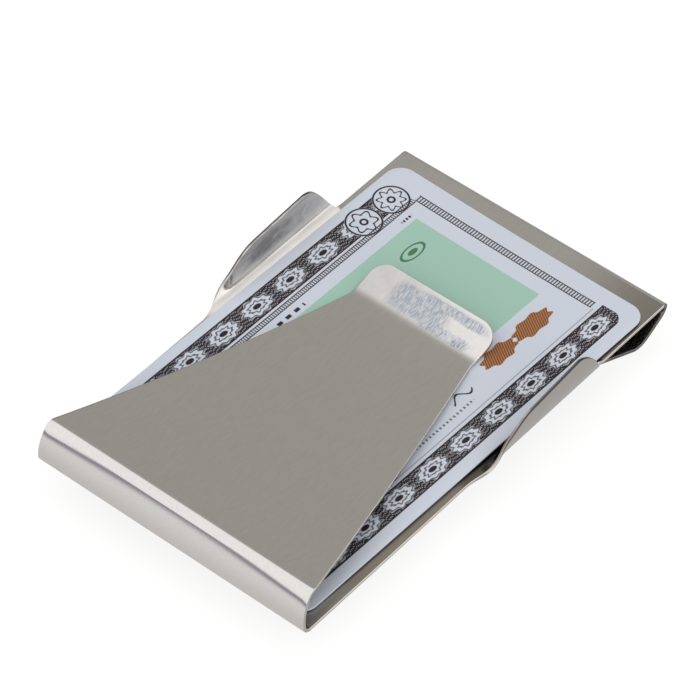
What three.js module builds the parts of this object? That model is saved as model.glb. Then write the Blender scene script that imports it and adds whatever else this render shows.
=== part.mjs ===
// Double-sided money clip, bent from one strip of stainless steel, with a printed card in it.
//
// Millimetres, +Z up. +Y runs along the clip, from the front fold to the rear fold. The origin is
// under the middle of the clip, level with the lowest point of the rear fold.
//
// One strip makes the whole clip: a flat plate in the middle, a fold at the front that carries a
// spring tongue back over the plate, and a fold at the rear that carries a second tongue back under
// it. Two wings stand up from the long edges of the plate and keep the card from sliding sideways.
// The strip is divided where its flat and bent stretches meet, so that each tongue can turn.

import * as THREE from 'three';

const RAD = Math.PI / 180;

// ---------------------------------------------------------------- driving dimensions

const sheet = 0.6;                  // thickness of the steel strip

const card = {
  width: 54.0,
  length: 85.6,
  thickness: 0.35,
  corner: 3.18,
  play: 0.35,                       // each side, between the card and the bend of a wing
  playLeft: 0.05,                   // of that, what is left where the askew card comes nearest
  nearSpace: 1.9,                   // inside of the front fold to the card's near edge
  farSetback: 4.5,                  // outside of the rear fold to the card's far edge
};

const frontFold = {
  height: 7.3,                      // plate's face to the outside of the fold
  bendRadius: 1.5,                  // outside radius where the strip leaves the plate
  easeRadius: 1.5,                  // outside radius that leans the wall inwards
  cornerRadius: 1.8,                // outside radius where the wall turns into the tongue
  lean: 17,                         // degrees from upright
  inset: 0.6,                       // loss of half width over the fold
};
const rearFold = {
  height: 6.9,
  bendRadius: 1.2,
  easeRadius: 3.5,
  cornerRadius: 3.5,
  lean: 45,
  inset: 1.3,
};

const neckFromFold = 59.5;          // outside of the fold to the line where the lip starts
const neckHalfWidth = 12.8;
const tongueBow = 8.5;              // degrees that the tongue's slope eases along its length
const lipRun = 7.6;                 // length of the lip along Y
const lipAngle = 40;                // degrees, slope of the lip at its free edge
const lipCorner = 3.5;              // radius of the lip's two corners
const neckGap = 0.08;               // underside of the neck to what it presses on
const lipClear = 0.8;                // free edge of the rear lip to the clear stretch of the back
const seamGap = 0.3;                // between a fold and the tongue that turns on it

const wing = {
  start: 39.6,                      // outside of the front fold to the near end of a wing
  end: 73.6,                        // and to its far end
  outset: 0.65,                     // plate's edge past the place where the card meets the bend
  relief: 0.65,                     // length of the slanting cut in the plate at each end of a wing
  rootRadius: 2.5,                  // inside radius of the bend
  lift: 0.35,                       // height of the card's edges where they lie on the bend
  rootAngle: 75,                    // degrees turned by the root bend
  wallRadius: 14,                   // radius of the wall above it
  rise: 6.1,                        // height gained by the curved near end of the outline
  riseRun: 14.9,                    // length of that near end
  crownSlope: 0.09,                 // slope of the outline's long top
  flankSlope: 1.75,                 // slope of its far end
  blend: 5.0,                       // rounding between top and far end
  twistRun: 9.0,                    // length over which the bend builds up
};

// ---------------------------------------------------------------- derived places

const cardSeat = card.width / 2 + card.play;    // X where the card's edge lies on a wing's bend
const seatRun = Math.sqrt(wing.rootRadius ** 2 - (wing.rootRadius - wing.lift) ** 2);
const wingRoot = cardSeat - seatRun;            // X of the line where a wing starts to bend
const halfWidth = cardSeat + wing.outset;       // of the plate
const wingMargin = halfWidth - wingRoot;        // of the plate's width that each wing takes up
const clipLength = sheet + card.nearSpace + card.length + card.farSetback;  // over both folds
const nearEnd = -clipLength / 2;                // Y of the outside of the front fold
const plateTop = rearFold.height + sheet;       // the rear fold hangs this far under the plate's face

// The card is as far askew as the play between the wings lets it be.
const cardDrift = 2 * (card.play - card.playLeft);
const cardYaw = Math.atan(cardDrift / (wing.end - wing.start));
const cardPivot = nearEnd + (wing.start + wing.end) / 2;

// The tongue holds the card's middle on the plate while its edges lie on the bends.
const cardRise = (x) => wing.lift * (x / cardSeat) ** 2;

// ---------------------------------------------------------------- materials

const steel = () => new THREE.MeshStandardMaterial({
  color: 0x9d9a93,
  roughness: 0.32,
  metalness: 1.0,
});
const printedCard = () => new THREE.MeshStandardMaterial({
  color: 0xc8ccd2,
  roughness: 0.55,
  metalness: 0.0,
});

// ---------------------------------------------------------------- helpers

const smoothstep = (t) => {
  const u = Math.min(1, Math.max(0, t));
  return u * u * (3 - 2 * u);
};

// Lower of two values, rounded where they cross; k is the width of the rounding.
const smoothMin = (a, b, k) => {
  const h = Math.max(k - Math.abs(a - b), 0) / k;
  return Math.min(a, b) - (h * h * k) / 4;
};

function meshFrom(name, positions, triangles, material) {
  const geometry = new THREE.BufferGeometry();
  geometry.setAttribute('position', new THREE.Float32BufferAttribute(positions.flat(), 3));
  geometry.setIndex(triangles.flat());
  geometry.computeVertexNormals();
  const mesh = new THREE.Mesh(geometry, material);
  mesh.name = name;
  return mesh;
}

// A closed solid from rings of points that all have the same count: each ring is joined to the
// next, and the first and last are closed with flat fans. The rings turn anticlockwise when seen
// from the last one.
function skinRings(name, rings, material) {
  const count = rings[0].length;
  const triangles = [];
  for (let r = 0; r + 1 < rings.length; r += 1) {
    for (let i = 0; i < count; i += 1) {
      const a = r * count + i;
      const b = r * count + ((i + 1) % count);
      triangles.push([a, b, b + count], [a, b + count, a + count]);
    }
  }
  const last = (rings.length - 1) * count;
  const caps = [...capFans(count, 0, true), ...capFans(count, last, false)];
  return meshFrom(name, rings.flat(), [...triangles, ...caps], material);
}

// Triangles that close a ring made of two rails, one after the other and back.
function capFans(count, base, reversed) {
  const triangles = [];
  for (let i = 0; i < count / 2 - 1; i += 1) {
    const [a, b] = [base + i, base + i + 1];
    const [c, d] = [base + count - 2 - i, base + count - 1 - i];
    const pair = reversed ? [[a, c, b], [a, d, c]] : [[a, b, c], [a, c, d]];
    triangles.push(...pair);
  }
  return triangles;
}

// ---------------------------------------------------------------- the bent strip

// Walks along the strip's middle plane in the Y-Z plane and keeps a station at each step.
class StripPath {
  constructor(y, z, heading) {
    this.stations = [{ y, z, heading }];
  }

  get last() {
    return this.stations[this.stations.length - 1];
  }

  // A round stretch of the given middle radius, from the present heading to the given one.
  turnTo(heading, radius, steps) {
    const from = this.last;
    const sign = Math.sign(heading - from.heading);
    for (let i = 1; i <= steps; i += 1) {
      const h = from.heading + ((heading - from.heading) * i) / steps;
      this.stations.push({
        y: from.y + sign * radius * (Math.sin(h * RAD) - Math.sin(from.heading * RAD)),
        z: from.z - sign * radius * (Math.cos(h * RAD) - Math.cos(from.heading * RAD)),
        heading: h,
      });
    }
    return this;
  }

  straight(length) {
    const { y, z, heading } = this.last;
    this.stations.push({
      y: y + length * Math.cos(heading * RAD),
      z: z + length * Math.sin(heading * RAD),
      heading,
    });
    return this;
  }
}

// The fold from the plate's edge to the root of its tongue. Y starts at the outside of the fold
// and Z at the face of the plate that the tongue lies over.
function foldPath(fold, tongueSlope) {
  const middle = (radius) => radius - sheet / 2;
  const lean = fold.lean * RAD;
  const bends = middle(fold.bendRadius)
    + middle(fold.easeRadius) * Math.sin(lean)
    + middle(fold.cornerRadius) * (1 - Math.sin(lean));
  const wall = (fold.height - bends) / Math.cos(lean);
  return new StripPath(fold.bendRadius, -sheet / 2, 180)
    .turnTo(90, middle(fold.bendRadius), 8)
    .turnTo(90 - fold.lean, middle(fold.easeRadius), 6)
    .straight(wall)
    .turnTo(-tongueSlope, middle(fold.cornerRadius), 12);
}

// Fold, tongue and lip as three lists of stations. The tongue is a shallow arc from the fold to the
// neck, so its slope at the fold is found by a few rounds of correction.
function armPaths(fold, stack) {
  const neck = { y: neckFromFold, z: stack + neckGap + sheet / 2 };
  let slope = 6;
  let path;
  for (let round = 0; round < 25; round += 1) {
    path = foldPath(fold, slope);
    const chord = Math.atan2(path.last.z - neck.z, neck.y - path.last.y) / RAD;
    slope = chord + tongueBow / 2;
  }
  const root = path.last;
  const chordLength = Math.hypot(neck.y - root.y, neck.z - root.z);
  const bowRadius = chordLength / (2 * Math.sin((tongueBow / 2) * RAD));
  const tongue = new StripPath(root.y, root.z, -slope).turnTo(tongueBow - slope, bowRadius, 16);
  const lipStart = tongue.last;
  const lipRadius = lipRun / (Math.sin(lipAngle * RAD) - Math.sin(lipStart.heading * RAD));
  const lip = new StripPath(lipStart.y, lipStart.z, lipStart.heading).turnTo(lipAngle, lipRadius, 18);
  return { fold: path.stations, tongue: tongue.stations, lip: lip.stations };
}

// Length along the stations up to each one.
function lengths(stations) {
  const out = [0];
  for (let i = 1; i < stations.length; i += 1) {
    const step = Math.hypot(stations[i].y - stations[i - 1].y, stations[i].z - stations[i - 1].z);
    out.push(out[i - 1] + step);
  }
  return out;
}

// The strip between the first and last station, with a half width for each length along it.
function stripSolid(name, stations, halfWidthAt, place) {
  const along = lengths(stations);
  const total = along[along.length - 1];
  const rings = stations.map((station, i) => {
    const half = halfWidthAt(along[i], total);
    const [ny, nz] = [-Math.sin(station.heading * RAD), Math.cos(station.heading * RAD)];
    const corner = (x, offset) => place(x, station.y + ny * offset, station.z + nz * offset);
    return [
      corner(-half, sheet / 2),
      corner(half, sheet / 2),
      corner(half, -sheet / 2),
      corner(-half, -sheet / 2),
    ];
  });
  return skinRings(name, rings, steel());
}

// The front arm stands over the plate. The rear arm is the same strip turned half a turn about X.
const placeFront = (x, y, z) => [x, nearEnd + y, plateTop + z];
const placeRear = (x, y, z) => [x, -nearEnd - y, plateTop - sheet - z];

// Stations of the tongue without the short gap at its root.
function withoutSeam(stations) {
  const [first, second] = stations;
  const share = seamGap / Math.hypot(second.y - first.y, second.z - first.z);
  const mix = (key) => first[key] + (second[key] - first[key]) * share;
  return [{ y: mix('y'), z: mix('z'), heading: mix('heading') }, ...stations.slice(1)];
}

function buildArm(prefix, fold, stack, place) {
  const paths = armPaths(fold, stack);
  const rootHalf = halfWidth - fold.inset;
  const foldHalf = (s, total) => halfWidth - (fold.inset * s) / total;
  const tongueHalf = (s, total) => rootHalf + ((neckHalfWidth - rootHalf) * s) / total;
  const lipHalf = (s, total) => {
    const past = Math.max(0, s - (total - lipCorner));
    return neckHalfWidth - lipCorner + Math.sqrt(Math.max(0, lipCorner ** 2 - past ** 2));
  };
  return [
    stripSolid(`${prefix}_fold`, paths.fold, foldHalf, place),
    stripSolid(`${prefix}_tongue`, withoutSeam(paths.tongue), tongueHalf, place),
    stripSolid(`${prefix}_lip`, paths.lip, lipHalf, place),
  ];
}

// ---------------------------------------------------------------- plate, wings and card

// The flat plate, set in along each wing by the width that the wing's root takes. A cross line
// divides the stretch of its back that stays clear of the rear lip.
function buildPlate() {
  const near = nearEnd + frontFold.bendRadius;
  const far = -nearEnd - rearFold.bendRadius;
  const clear = -nearEnd - neckFromFold - lipRun - lipClear;
  const from = nearEnd + wing.start;
  const to = nearEnd + wing.end;
  const outline = [
    [near, halfWidth],
    [clear, halfWidth],
    [from - wing.relief, halfWidth],
    [from, wingRoot],
    [to, wingRoot],
    [to + wing.relief, halfWidth],
    [far, halfWidth],
  ];
  const rings = outline.map(([y, half]) => [
    [-half, y, plateTop],
    [half, y, plateTop],
    [half, y, plateTop - sheet],
    [-half, y, plateTop - sheet],
  ]);
  return skinRings('center_plate', rings, steel());
}

// Developed height of a wing at y past its near end: what the flat blank would measure from the
// root line to its outline.
function wingReach(y) {
  const crown = wingMargin + wing.rise * smoothstep(y / wing.riseRun)
    + wing.crownSlope * Math.max(0, y - wing.riseRun * 0.65);
  const flank = wingMargin + (wing.end - wing.start - y) * wing.flankSlope;
  return Math.max(wingMargin, smoothMin(crown, flank, wing.blend));
}

// Section of a wing across X: points on the strip's middle plane with the slope at each.
function wingSection(reach, twist) {
  const steps = 11;
  const rootLength = wing.rootAngle * RAD * (wing.rootRadius + sheet / 2);
  const slopeAt = (s) => twist * (Math.min(s / rootLength, 1) * wing.rootAngle * RAD
    + Math.max(0, s - rootLength) / wing.wallRadius);
  const points = [{ x: wingRoot, z: -sheet / 2, slope: 0 }];
  for (let i = 1; i <= steps; i += 1) {
    const from = reach * ((i - 1) / steps) ** 1.5;
    const to = reach * (i / steps) ** 1.5;
    const middle = slopeAt((from + to) / 2);
    const before = points[i - 1];
    points.push({
      x: before.x + (to - from) * Math.cos(middle),
      z: before.z + (to - from) * Math.sin(middle),
      slope: slopeAt(to),
    });
  }
  return points;
}

function buildWing(name, side) {
  const span = wing.end - wing.start;
  const steps = 36;
  const rings = [];
  for (let i = 0; i <= steps; i += 1) {
    const y = (span * i) / steps;
    const section = wingSection(wingReach(y), smoothstep(y / wing.twistRun));
    const rail = (offset) => section.map(({ x, z, slope }) => [
      side * (x - Math.sin(slope) * offset),
      nearEnd + wing.start + y,
      plateTop + z + Math.cos(slope) * offset,
    ]);
    const ring = [...rail(sheet / 2), ...rail(-sheet / 2).reverse()];
    rings.push(side > 0 ? ring : ring.reverse());
  }
  return skinRings(name, rings, steel());
}

// The card lies on the plate under the front neck, a little dished. It is turned clockwise about a
// point midway along the wings, until two of its edges all but touch them.
function buildCard() {
  const cornerSteps = 7;
  const acrossSteps = 12;
  const far = -nearEnd - card.farSetback - cardPivot;
  const corner = Array.from({ length: cornerSteps + 1 }, (_, i) => {
    const angle = (Math.PI / 2) * (i / cornerSteps);
    return { along: card.corner * (1 - Math.cos(angle)), half: card.width / 2 - card.corner * (1 - Math.sin(angle)) };
  });
  const outline = [
    ...corner.map(({ along, half }) => [far - card.length + along, half]),
    ...corner.reverse().map(({ along, half }) => [far - along, half]),
  ];
  const rings = outline.map(([y, half]) => {
    const rail = (thickness) => Array.from({ length: acrossSteps + 1 }, (_, i) => {
      const x = half * ((2 * i) / acrossSteps - 1);
      return [x, y, plateTop + cardRise(x) + thickness];
    });
    return [...rail(card.thickness), ...rail(0).reverse()];
  });
  const mesh = skinRings('display_card', rings, printedCard());
  mesh.geometry.rotateZ(-cardYaw);
  mesh.geometry.translate(0, cardPivot, 0);
  return mesh;
}

// ---------------------------------------------------------------- assembly

const moneyClip = new THREE.Group();
moneyClip.name = 'money_clip';
moneyClip.add(
  buildPlate(),
  buildWing('right_wing', 1),
  buildWing('left_wing', -1),
  ...buildArm('front', frontFold, card.thickness + cardRise(neckHalfWidth), placeFront),
  ...buildArm('rear', rearFold, 0, placeRear),
  buildCard(),
);

export default moneyClip;
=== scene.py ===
"""Double-sided money clip with a printed card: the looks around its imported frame.

One strip of stainless steel makes the clip. The flat plate carries two wings and, at its ends, two
folds; each fold carries a spring tongue that ends in a curled lip. Every piece is a closed sheet
worked out as a surface of two parameters: a length along the strip and a place round its section.
"""

import math

import bpy
import numpy as np
from bpy.props import FloatProperty, FloatVectorProperty, PointerProperty
from mathutils import Matrix, Vector


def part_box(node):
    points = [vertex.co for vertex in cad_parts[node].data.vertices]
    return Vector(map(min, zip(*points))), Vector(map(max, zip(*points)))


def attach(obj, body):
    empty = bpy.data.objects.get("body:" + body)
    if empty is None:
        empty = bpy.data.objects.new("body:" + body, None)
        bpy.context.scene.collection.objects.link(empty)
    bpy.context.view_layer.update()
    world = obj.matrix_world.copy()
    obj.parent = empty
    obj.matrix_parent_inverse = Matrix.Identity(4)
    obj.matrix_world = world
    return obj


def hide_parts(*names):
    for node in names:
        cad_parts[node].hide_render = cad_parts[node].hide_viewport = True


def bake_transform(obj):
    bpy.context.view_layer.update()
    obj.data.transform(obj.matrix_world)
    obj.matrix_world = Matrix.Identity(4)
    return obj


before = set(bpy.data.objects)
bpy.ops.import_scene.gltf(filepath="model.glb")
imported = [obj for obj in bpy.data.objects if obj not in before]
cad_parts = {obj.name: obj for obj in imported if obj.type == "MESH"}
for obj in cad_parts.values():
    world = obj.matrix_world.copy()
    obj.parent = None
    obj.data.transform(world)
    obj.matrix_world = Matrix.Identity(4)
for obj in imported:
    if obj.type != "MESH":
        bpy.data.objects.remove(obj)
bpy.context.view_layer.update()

bl_info = {
    "name": "Money clip",
    "version": (1, 0, 0),
    "blender": (4, 5, 0),
    "location": "3D View > Sidebar > Money Clip",
    "description": "Builds a bent steel money clip with a printed card, on its stage",
    "category": "Add Mesh",
}

MM = 0.001
PLATE_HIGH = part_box("center_plate")[1]
FRONT_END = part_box("front_fold")[0].y
REAR_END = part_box("rear_fold")[1].y

# Points across the width of each sheet's face, and steps round each of its edges.
PLATE_ACROSS, FOLD_ACROSS, TONGUE_ACROSS, CARD_ACROSS = 97, 57, 97, 41
EDGE_STEPS, CARD_EDGE_STEPS = 4, 3
# Share of the plate's points that lie on its flat part; the others are for the wings.
FLAT_SHARE = 0.34
# Angle past which an edge between two faces looks sharp.
SHARP_ANGLE = math.radians(50)
# Rub marks on a lip: strength, then middle and reach across it and along it.
RUB_PATCHES = ((1.0, (-0.14, 0.62), (0.56, 0.44)),
               (0.85, (0.30, 0.82), (0.80, 0.16)),
               (0.65, (0.40, 0.66), (0.30, 0.20)))
# The steel's finish and its painted light and shade: each is a float attribute that satin_steel
# reads.
STEEL_FIELDS = ("rub", "polish", "gloss", "clear", "painted_shade", "painted_strip_shade", "dull", "cut")


def length_property(name, description, default):
    """A length in metres, shown with five decimals."""
    return FloatProperty(
        name=name, description=description, default=default, precision=5,
        subtype="DISTANCE", unit="LENGTH",
    )


def angle_property(name, description, degrees):
    """An angle, given in degrees."""
    return FloatProperty(
        name=name, description=description, default=math.radians(degrees),
        subtype="ANGLE", unit="ROTATION",
    )


def colour_property(name, description, default):
    """A colour without alpha, in linear light."""
    return FloatVectorProperty(
        name=name, description=description, default=default, size=3, min=0.0, max=1.0,
        subtype="COLOR",
    )


def factor_property(name, description, default):
    """A share from 0 to 1."""
    return FloatProperty(
        name=name, description=description, default=default, min=0.0, max=1.0,
        subtype="FACTOR",
    )


# ------------------------------------------------------------------ sizes and colours

class ClipSheet(bpy.types.PropertyGroup):
    """The strip that the whole clip is bent from."""
    thickness: length_property("Thickness", "Thickness of the steel strip", 0.6 * MM)
    edge: length_property("Edge", "Radius that tumbling leaves on the cut edges", 0.10 * MM)
    half_width: length_property("Half width", "Middle of the plate to its long edge", PLATE_HIGH.x)
    plate_top: length_property("Plate top", "Height of the plate's upper face", PLATE_HIGH.z)
    neck: length_property("Neck", "Outside of a fold to the start of its lip", 59.5 * MM)
    neck_half_width: length_property("Neck half width", "Half width of tongue and lip at the neck",
                                     12.8 * MM)
    tongue_bow: angle_property("Tongue bow", "How much the tongue's slope eases along it", 8.5)
    lip_run: length_property("Lip run", "Length of a lip along the clip", 7.6 * MM)
    lip_angle: angle_property("Lip angle", "Slope of a lip at its free edge", 40)
    lip_corner: length_property("Lip corner", "Radius of a lip's two corners", 3.5 * MM)
    neck_gap: length_property("Neck gap", "Underside of a neck to what it presses on", 0.08 * MM)


class ClipFold(bpy.types.PropertyGroup):
    """One end fold, from the plate's end to the root of its tongue."""
    height: length_property("Height", "Face of the plate to the outside of the fold", 7.3 * MM)
    bend_radius: length_property("Bend radius", "Outside radius at the plate", 1.5 * MM)
    ease_radius: length_property("Ease radius", "Outside radius that leans the wall in", 1.5 * MM)
    corner_radius: length_property("Corner radius", "Outside radius at the tongue", 1.8 * MM)
    lean: angle_property("Lean", "Wall from upright", 17)
    belly: angle_property("Belly", "Half of the wall's turn along its height, at mid width", 13)
    end_belly: angle_property("End belly", "The same at the fold's two ends", 20)
    inset: length_property("Inset", "Half width lost over the fold", 0.6 * MM)


class ClipWing(bpy.types.PropertyGroup):
    """The two side wings, which curl up from the long edges of the plate."""
    start: length_property("Start", "Front end of the clip to the near end of a wing", 39.6 * MM)
    end: length_property("End", "Front end of the clip to the far end of a wing", 73.6 * MM)
    seat: length_property("Seat", "Middle of the plate to where the card lies on the bend",
                          27.35 * MM)
    lift: length_property("Lift", "Height of the card's edges on the bend", 0.35 * MM)
    root_radius: length_property("Root radius", "Inside radius of the bend", 2.5 * MM)
    root_angle: angle_property("Root angle", "Angle turned by the bend", 75)
    wall_radius: length_property("Wall radius", "Radius of the wall above the bend", 14 * MM)
    rise: length_property("Rise", "Height gained by the curved near end", 6.1 * MM)
    rise_run: length_property("Rise run", "Length of the curved near end", 14.9 * MM)
    crown_slope: FloatProperty(name="Crown slope", description="Slope of the long top edge",
                               default=0.09)
    flank_slope: FloatProperty(name="Flank slope", description="Slope of the far end",
                               default=1.75)
    blend: length_property("Blend", "Rounding between the top and the far end", 5.0 * MM)
    twist_run: length_property("Twist run", "Length over which the bend builds up", 9.0 * MM)
    untwist_run: length_property("Untwist run", "Length over which it flattens again", 2.2 * MM)


class ClipCard(bpy.types.PropertyGroup):
    """The printed card."""
    width: length_property("Width", "Short side of the card", 54.0 * MM)
    length: length_property("Length", "Long side of the card", 85.6 * MM)
    thickness: length_property("Thickness", "Thickness of the card", 0.35 * MM)
    corner: length_property("Corner", "Radius of the card's corners", 3.18 * MM)
    far_setback: length_property("Far setback", "Rear end of the clip to the card's far edge",
                                 4.5 * MM)
    drift: length_property("Drift", "How far the card turns sideways over a wing's length",
                           0.6 * MM)
    edge: length_property("Edge", "Radius on the card's edges", 0.08 * MM)
    paper: colour_property("Paper", "Unprinted face", (0.52, 0.555, 0.625))
    ink: colour_property("Ink", "Dark printed ornament", (0.017, 0.009, 0.013))
    panel: colour_property("Panel", "Soft green panel", (0.305, 0.475, 0.395))
    leaf: colour_property("Leaf", "Dark green ornament on the panel", (0.02, 0.11, 0.03))
    copper: colour_property("Copper", "Copper coloured blossoms", (0.37, 0.155, 0.060))


class ClipSteel(bpy.types.PropertyGroup):
    """The finish of the steel, with the colours of its painted light and shade."""
    satin: colour_property("Satin", "Flat satin faces", (0.60, 0.582, 0.545))
    polished: colour_property("Polished", "Lips and wings, polished by use", (0.475, 0.463, 0.458))
    rub: colour_property("Rub", "Cool grey of fine rub marks", (0.27, 0.31, 0.365))
    bend: colour_property("Bend", "Outside of the two folds", (0.625, 0.610, 0.598))
    # The clear colour is a painted highlight that lightens the inside of the wings above their
    # bend.
    clear: colour_property("Clear", "Clear polish inside the wings", (0.86, 0.805, 0.735))
    # A patch of painted shade inside the wings; it also darkens the wings' and the rear arm's cut
    # edges.
    painted_shade: colour_property("Smoke", "Dull patch inside the wings", (0.28, 0.265, 0.255))
    # Painted shade on the outer corner of the wings' cut edge.
    painted_edge_shade: colour_property("Dusk", "Outer corner of the wings' cut edge", (0.07, 0.067, 0.065))
    # A warm strip of painted shade on the plate beside the card.
    painted_strip_shade: colour_property("Tarnish", "Warm dull tone beside the card", (0.27, 0.240, 0.205))
    # Bare cut edges, brightened by a painted highlight.
    cut_edge_and_glint: colour_property("Cut edge", "Bare cut edges", (0.82, 0.785, 0.74))
    roughness: factor_property("Roughness", "Roughness of the satin faces", 0.20)
    grain: factor_property("Grain", "Depth of the fine satin grain", 0.12)


class ClipStage(bpy.types.PropertyGroup):
    """Floor, light and camera."""
    floor_size: length_property("Floor size", "Side of the square floor", 12.0)
    floor_colour: colour_property("Floor colour", "Pale floor", (0.25, 0.25, 0.25))
    floor_glow: FloatProperty(name="Floor glow", description="Light from under the floor",
                              default=0.78, min=0.0)
    flag_light: FloatProperty(name="Flag light", description="Light off the grey rear flag",
                              default=0.475, min=0.0)
    dome_light: FloatProperty(name="Dome light", description="Light of the soft white dome",
                              default=1.25, min=0.0)
    low_light: FloatProperty(name="Low light", description="Light from low down in front",
                             default=0.98, min=0.0)
    low_shade: FloatProperty(name="Low shade", description="Light from low down behind",
                             default=0.54, min=0.0)
    lens: FloatProperty(name="Lens", description="Focal length of the camera, in millimetres",
                        default=232.98, subtype="DISTANCE_CAMERA")
    camera: FloatVectorProperty(name="Camera", description="Place of the camera",
                                default=(0.31953, -0.38192, 0.54862), subtype="TRANSLATION",
                                unit="LENGTH")
    aim: FloatVectorProperty(name="Aim", description="Point that the camera looks at",
                             default=(-0.00308, 0.00159, 0.01097), subtype="TRANSLATION",
                             unit="LENGTH")


# ------------------------------------------------------------------ surfaces

def smoothstep(t):
    """3t^2 - 2t^3 with t held between 0 and 1."""
    u = np.clip(t, 0.0, 1.0)
    return u * u * (3 - 2 * u)


def fade(value, start, run):
    """0 up to a start and 1 from start plus run on, by smoothstep."""
    return smoothstep((value - start) / run)


def smooth_min(a, b, k):
    """The lower of a and b, rounded over the width k where they cross."""
    h = np.maximum(k - np.abs(a - b), 0) / k
    return np.minimum(a, b) - h * h * k / 4


def sheet_ring(spread, half, depth, edge, steps=EDGE_STEPS):
    """Section of a sheet with rounded edges, as (across, offset), one row for each station.

    Along the upper face, across is spread times the half width less the edge radius, and offset
    is half the thickness. Round each edge both follow a quarter circle down to the middle and
    another on to the lower face, which runs back the other way.
    """
    half, depth = np.asarray(half)[:, None], np.asarray(depth)[:, None]
    radius = np.minimum(edge, depth)
    turn = np.linspace(math.pi / 2, 0, steps + 1)
    down, up = turn[1:], turn[::-1][:-1]
    still, level, one = 0 * spread, 0 * spread + 1, np.ones(steps)
    unit_x = np.concatenate([spread, one, one, -spread, -one, -one])
    arc_x = np.concatenate([still, np.cos(down), np.cos(up), still, -np.cos(down), -np.cos(up)])
    unit_o = np.concatenate([level, one, -one, -level, -one, one])
    arc_o = np.concatenate([level, np.sin(down), -np.sin(up), -level, -np.sin(down), np.sin(up)])
    return unit_x * (half - radius) + arc_x * radius, unit_o * (depth - radius) + arc_o * radius


def edge_mask(across_count):
    """1 on the rounded edges of a section made by sheet_ring, 0 on its two faces, as one row."""
    face, rim = np.zeros(across_count), np.ones(2 * EDGE_STEPS)
    return np.concatenate([face, rim, face, rim])[None, :]


def hump(value, middle, reach):
    """1 around a middle, falling to 0 at the reach: exp(-(distance / 0.75 reach)^4)."""
    return np.exp(-((value - middle) / (0.75 * reach)) ** 4)


def closed_sheet(name, grid, material, values):
    """A closed mesh from rings of points (stations, ring, 3), with a float attribute per value.

    Each ring is joined to the next by quads and both end rings are closed by one face each. If
    the signed volume comes out negative, every face is turned over.
    """
    stations, ring = grid.shape[:2]
    index = np.arange(stations * ring).reshape(stations, ring)
    a, b = index[:-1], np.roll(index, -1, axis=1)[:-1]
    c, d = np.roll(index, -1, axis=1)[1:], index[1:]
    quads = np.stack([a, b, c, d], axis=-1).reshape(-1, 4)
    points = grid.reshape(-1, 3)
    p, q, r, s = (points[quads[:, k]] for k in range(4))
    volume = (np.cross(p, q) * r).sum() + (np.cross(p, r) * s).sum()
    faces = quads.tolist() + [index[0][::-1].tolist(), index[-1].tolist()]
    if volume < 0:
        faces = [face[::-1] for face in faces]
    mesh = bpy.data.meshes.new(name)
    mesh.from_pydata(points.tolist(), [], faces)
    mesh.materials.append(material)
    mesh.update()
    mesh.shade_smooth()
    mesh.set_sharp_from_angle(angle=SHARP_ANGLE)
    for key, value in values.items():
        spread_out = np.broadcast_to(value, grid.shape[:2]).astype(np.float32)
        mesh.attributes.new(key, "FLOAT", "POINT").data.foreach_set("value", spread_out.ravel())
    if mesh.validate():
        raise RuntimeError(f"{name}: the mesh had faults")
    piece = bpy.data.objects.new(name, mesh)
    bpy.context.scene.collection.objects.link(piece)
    return piece


def steel_sheet(scene, name, grid, **finish):
    """A closed sheet of steel with all of its finish and painted light fields, which are 0 unless
    given.
    The steel is made once, and all the sheets share it."""
    steel = bpy.data.materials.get("satin_steel") or satin_steel(scene)
    return closed_sheet(name, grid, steel, {**dict.fromkeys(STEEL_FIELDS, 0.0), **finish})


def arc(y, z, heading, goal, radius, steps):
    """Round stretch of a path from one heading to another, as rows (y, z, heading).

    With sign s of the turn, y grows by s*radius*(sin h - sin heading) and z by
    -s*radius*(cos h - cos heading), for headings h in equal steps.
    """
    h = np.linspace(heading, goal, steps + 1)[1:]
    s = math.copysign(1.0, goal - heading)
    return np.column_stack([
        y + s * radius * (np.sin(h) - math.sin(heading)),
        z - s * radius * (np.cos(h) - math.cos(heading)),
        h,
    ])


def fold_path(fold, sheet, slope, belly):
    """Middle of the strip from the plate's end to the tongue's root.

    Four arcs one after the other: the bend at the plate, the ease, the wall, which is an arc of
    large radius that turns by twice the belly, and the corner into the tongue. The wall's radius
    follows from the fold's height.
    """
    skin = sheet.thickness / 2
    bend, ease, corner = (r - skin for r in (fold.bend_radius, fold.ease_radius,
                                             fold.corner_radius))
    low = math.pi / 2 - fold.lean + belly
    high = math.pi / 2 - fold.lean - belly
    gained = bend + ease * math.cos(low) + corner * (1 - math.cos(high))
    wall = (fold.height - gained) / (math.cos(high) - math.cos(low))
    path = np.array([[fold.bend_radius, -skin, math.pi]])
    for goal, radius, steps in ((math.pi / 2, bend, 20), (low, ease, 8), (high, wall, 24),
                                (-slope, corner, 36)):
        path = np.vstack([path, arc(*path[-1], goal, radius, steps)])
    return path


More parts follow.
